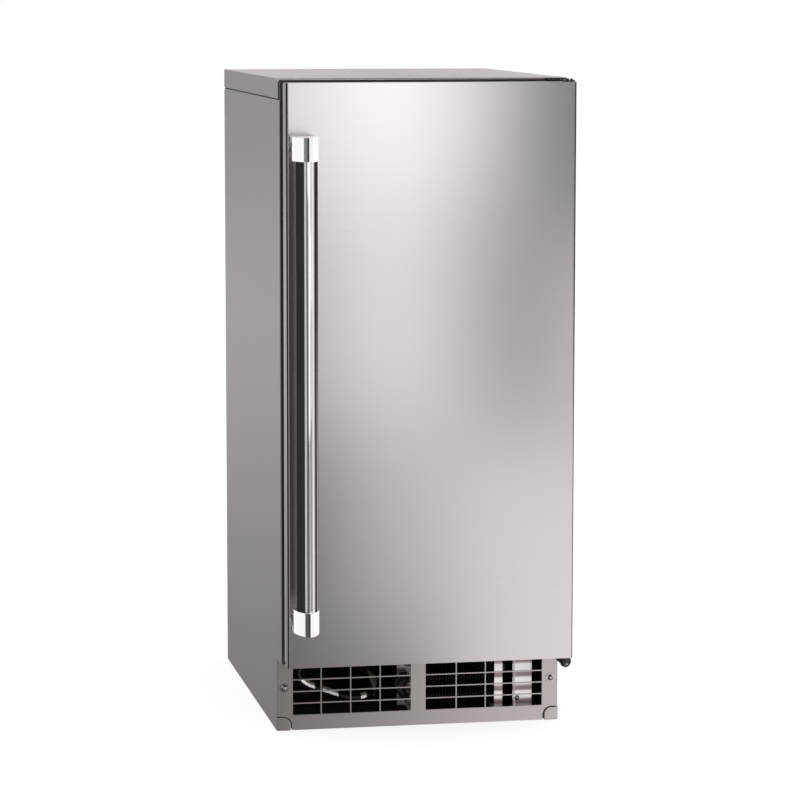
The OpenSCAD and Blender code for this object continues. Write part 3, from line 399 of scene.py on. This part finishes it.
def panel_light(name, middle, aim, size, glow, only=None):
    """A soft box of the given width and height, whose face has the same glow whatever its size.

    only names the nodes that it lights, where it is a card set up for them alone.
    """
    data = bpy.data.lights.new(name, "AREA")
    data.shape = "RECTANGLE"
    data.size, data.size_y = size
    data.energy = glow * math.pi * size[0] * size[1]
    light = bpy.data.objects.new(name, data)
    light.location = middle
    light.rotation_euler = (Vector(aim) - Vector(middle)).to_track_quat("-Z", "Y").to_euler()
    light.visible_camera = False
    if only:
        receivers = bpy.data.collections.new(name + "_lit")
        for piece in only:
            receivers.objects.link(piece)
        light.light_linking.receiver_collection = receivers
    scene.collection.objects.link(light)
    return light


def front_panel(name, x, z, glow, ahead):
    """A soft box some way in front of the door, between two x and two z, facing straight back."""
    middle = ((x[0] + x[1]) / 2, DOOR_FRONT - ahead, (z[0] + z[1]) / 2)
    return panel_light(name, middle, (middle[0], 0.0, middle[2]), (x[1] - x[0], z[1] - z[0]), glow)


def turned_panel(name, bearings, glow, only, z=(-1.05, 1.95)):
    """A tall soft box round the handle, between two bearings in degrees from the front towards the right."""
    reach = 1.3
    height = (z[0] + z[1]) / 2
    start, end = (Vector((HANDLE[0] + reach * math.sin(math.radians(bearing)),
                          HANDLE[1] - reach * math.cos(math.radians(bearing)), height))
                  for bearing in bearings)
    panel_light(name, (start + end) / 2, (*HANDLE, height), ((end - start).length, z[1] - z[0]), glow, only)


def spare(light, pieces):
    """Keeps a light off some pieces."""
    spared = bpy.data.collections.new(light.name + "_spared")
    light.light_linking.receiver_collection = spared
    for piece in pieces:
        spared.objects.link(piece)
    for entry in spared.collection_objects:
        entry.light_linking.link_state = "EXCLUDE"


# What steel mirrors of the room, as levels by bearing or by elevation, in degrees
BACKDROP = ((-180, 1), (-158, 1), (-149, 0), (149, 0), (158, 1), (180, 1))
BACKDROP_HEIGHT = ((-30, 0.15), (-12, 0.25), (-5.3, 0.63), (-1.5, 0.27), (0.5, 0.5), (2.5, 0.92), (9, 0.92),
                   (30, 0.5))
ROOM_AHEAD = ((-60, 0.03), (-24, 0.05), (-16, 0.16), (52, 0.16), (62, 0.03), (90, 0.02))


def make_world():
    """White to the eye and to matt surfaces; steel mirrors a dim room with a pale backdrop."""
    world = bpy.data.worlds.new("studio")
    world.use_nodes = True
    world.cycles.sampling_method = "NONE"
    tree = world.node_tree
    tree.nodes.clear()

    def node(kind, *sources, **values):
        made = tree.nodes.new(kind)
        for key, value in values.items():
            setattr(made, key, value)
        for socket, source in zip(made.inputs, sources):
            if isinstance(source, bpy.types.NodeSocket):
                tree.links.new(source, socket)
            elif source is not None:
                socket.default_value = source
        return made.outputs[0]

    def levels(value, stops):
        low, high = stops[0][0], stops[-1][0]
        made = tree.nodes.new("ShaderNodeValToRGB")
        place = node("ShaderNodeMapRange", value, math.radians(low), math.radians(high))
        tree.links.new(place, made.inputs["Fac"])
        fill_ramp(made, [((degrees - low) / (high - low), (level, level, level)) for degrees, level in stops])
        return made.outputs["Color"]

    parts = tree.nodes.new("ShaderNodeSeparateXYZ")
    tree.links.new(tree.nodes.new("ShaderNodeTexCoord").outputs["Generated"], parts.inputs["Vector"])
    ahead = node("ShaderNodeMath", parts.outputs["Y"], -1.0, operation="MULTIPLY")
    turn = node("ShaderNodeMath", parts.outputs["X"], ahead, operation="ARCTAN2")
    rise = node("ShaderNodeMath", parts.outputs["Z"], operation="ARCSINE")
    behind = node("ShaderNodeVectorMath", levels(turn, BACKDROP), levels(rise, BACKDROP_HEIGHT),
                  operation="MULTIPLY")
    room = node("ShaderNodeVectorMath", behind, levels(turn, ROOM_AHEAD), operation="ADD")
    seen = tree.nodes.new("ShaderNodeLightPath")
    pale = node("ShaderNodeMath", seen.outputs["Is Camera Ray"], seen.outputs["Is Diffuse Ray"],
                operation="MAXIMUM")
    mix = node("ShaderNodeMixShader", pale, node("ShaderNodeBackground", room),
               node("ShaderNodeBackground", WHITE))
    tree.links.new(mix, tree.nodes.new("ShaderNodeOutputWorld").inputs["Surface"])
    scene.world = world


# The soft boxes before the door: x from and to, z from and to, glow, and the distance from the door in metres
FRONT_PANELS = {
    "upper": ((-0.25, 0.35), (0.65, 1.75), 0.575, 1.0),
    "key": ((-0.10, 0.31), (0.27, 1.75), 0.58, 1.02),
    "slot": ((0.06, 0.23), (-0.06, 1.75), 0.62, 1.04),
    "low_right": ((0.24, 2.70), (-1.80, 0.25), 0.98, 1.06),
    "right_fill": ((0.42, 0.57), (0.27, 0.58), 0.95, 1.08),
    "left_strip": ((-0.80, -0.42), (-1.50, 1.75), 0.58, 1.0),
}


def make_lights():
    """Soft boxes for the door, with cards of their own for the polished handle."""
    bar = [nodes["handle_bar"]]
    caps = [nodes["handle_top_bracket"], nodes["handle_bottom_bracket"]]
    edges = [nodes["door_skin"], nodes["hinge_pins"], nodes["bottom_hinge_bracket"], nodes["top_hinge_plate"]]
    panels = {name: front_panel(name, *values) for name, values in FRONT_PANELS.items()}
    panels["upper"].data.color = (0.965, 1.0, 0.985)
    for name, panel in panels.items():
        spare(panel, caps + bar if name == "low_right" else caps)
    for name, x in (("left_side", -3.0), ("right_side", 3.0)):
        side = panel_light(name, (x, 1.5, 1.4), (0.0, 1.5, 1.4), (6.0, 4.4), 0.7)
        spare(side, caps + bar + edges)
    turned_panel("bar_upper", (26, 47), 0.55, bar, (0.45, 1.95))
    turned_panel("bar_lower", (26, 47), 0.22, bar, (-1.05, 0.45))
    turned_panel("bar_right", (47, 67), 0.85, bar)
    turned_panel("bar_edge", (67, 80), 0.30, bar)
    for cap, z, stripe in ((caps[0], 0.767, 0.16), (caps[1], 0.169, 0.03)):
        turned_panel(cap.name + "_left", (-168, -98), 0.95, [cap])
        turned_panel(cap.name + "_stripe", (-97, -66), stripe, [cap])
        turned_panel(cap.name + "_right", (22, 94), 1.0, [cap])
        panel_light(cap.name + "_back", (0.025, -0.259, z), (0.025, -1.0, z), (0.34, 0.30), 1.0, [cap])


make_camera()
materials = make_materials()
dress_nodes(materials)
make_seam_shade_strips(materials)
make_floor()
make_world()
make_lights()
scene.view_settings.view_transform = "Standard"
